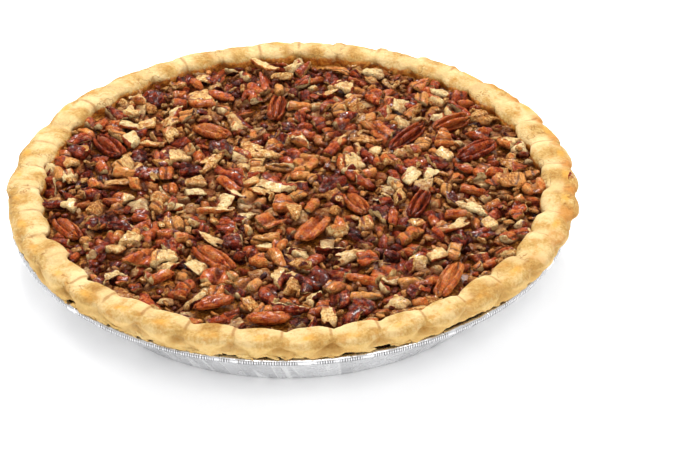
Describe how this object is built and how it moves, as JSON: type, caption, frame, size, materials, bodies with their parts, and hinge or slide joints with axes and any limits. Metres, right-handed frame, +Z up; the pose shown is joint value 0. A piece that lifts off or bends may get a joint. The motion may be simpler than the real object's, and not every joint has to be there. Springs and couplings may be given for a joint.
{
  "type": "pecan pie",
  "caption": "Whole round pecan pie, fluted golden pastry rim and a filling heaped with chopped pecans, in a shallow foil tin with a rolled rim.",
  "frame": {"origin": "middle of the underside of the tin, on the table", "axes": "+Z up; -Y towards the front of the pie as it is seen; +X to the right"},
  "size_m": [0.254, 0.254, 0.0404],
  "materials": {
    "foil": "bright thin foil, lightly wrinkled",
    "pastry": "baked pastry, stands in for food: matte, pale golden",
    "custard": "set syrup custard, stands in for food: glossy amber",
    "pecan": "baked pecan, stands in for food: syrup-glazed skin, pale broken faces"
  },
  "bodies": {
    "root": {"foil_tin": "foil", "pastry_crust": "pastry", "custard_filling": "custard", "chopped_pecans": "pecan", "pecan_half_01": "pecan", "pecan_half_02": "pecan", "pecan_half_03": "pecan", "pecan_half_04": "pecan", "pecan_half_05": "pecan", "pecan_half_06": "pecan", "pecan_half_07": "pecan", "pecan_half_08": "pecan", "pecan_half_09": "pecan", "pecan_half_10": "pecan", "pecan_half_11": "pecan", "pecan_half_12": "pecan", "pecan_half_13": "pecan", "pecan_half_14": "pecan"}
  },
  "joints": []
}
